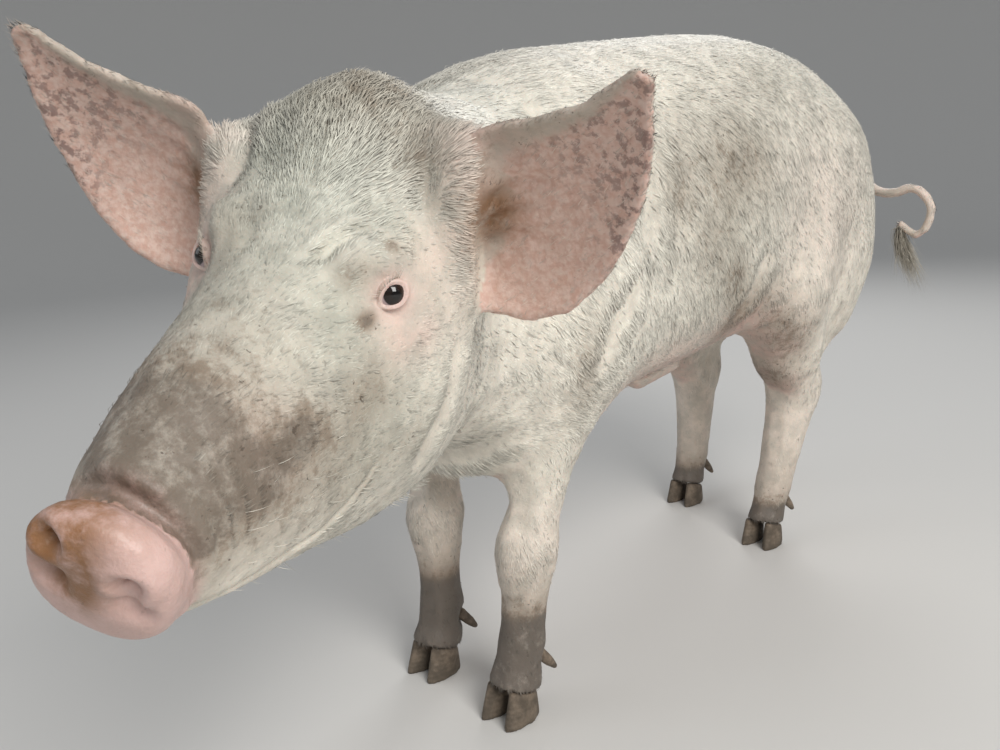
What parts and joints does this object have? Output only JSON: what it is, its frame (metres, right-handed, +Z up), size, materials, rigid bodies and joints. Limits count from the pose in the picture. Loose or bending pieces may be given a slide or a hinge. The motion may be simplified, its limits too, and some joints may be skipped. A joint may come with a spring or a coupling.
{
  "type": "pig",
  "caption": "Life-size standing white pig, head turned to its left and lowered, ears spread, tail curled and hanging.",
  "frame": {"origin": "on the floor, under the middle of the pig's bounds", "axes": "+X to the pig's left, -Y the way the trunk faces, +Z up"},
  "size_m": [0.5606, 1.3844, 0.7467],
  "materials": {
    "hide": "cream-white bristly hide with pink skin under it, muddy below",
    "ear_skin": "thin pink-brown ear skin, almost bare inside, dusted with mud",
    "snout_skin": "moist pink snout disc with brown mud",
    "horn": "dull brown-grey horn, muddy",
    "eye": "wet dark brown eye",
    "hair": "pale coarse hair"
  },
  "bodies": {
    "root": {"head": "hide", "lower_jaw": "hide", "snout_disc": "snout_skin", "left_ear": "ear_skin", "right_ear": "ear_skin", "left_eye": "eye", "right_eye": "eye", "neck": "hide", "shoulders": "hide", "barrel": "hide", "rump": "hide", "sheath": "hide", "tail": "hide", "tail_tuft": "hair", "left_fore_leg": "hide", "left_fore_foot": "hide", "left_fore_outer_claw": "horn", "left_fore_inner_claw": "horn", "left_fore_outer_dewclaw": "horn", "left_fore_inner_dewclaw": "horn", "left_hind_leg": "hide", "left_hind_foot": "hide", "left_hind_outer_claw": "horn", "left_hind_inner_claw": "horn", "left_hind_outer_dewclaw": "horn", "left_hind_inner_dewclaw": "horn", "right_fore_leg": "hide", "right_fore_foot": "hide", "right_fore_outer_claw": "horn", "right_fore_inner_claw": "horn", "right_fore_outer_dewclaw": "horn", "right_fore_inner_dewclaw": "horn", "right_hind_leg": "hide", "right_hind_foot": "hide", "right_hind_outer_claw": "horn", "right_hind_inner_claw": "horn", "right_hind_outer_dewclaw": "horn", "right_hind_inner_dewclaw": "horn"}
  },
  "joints": []
}
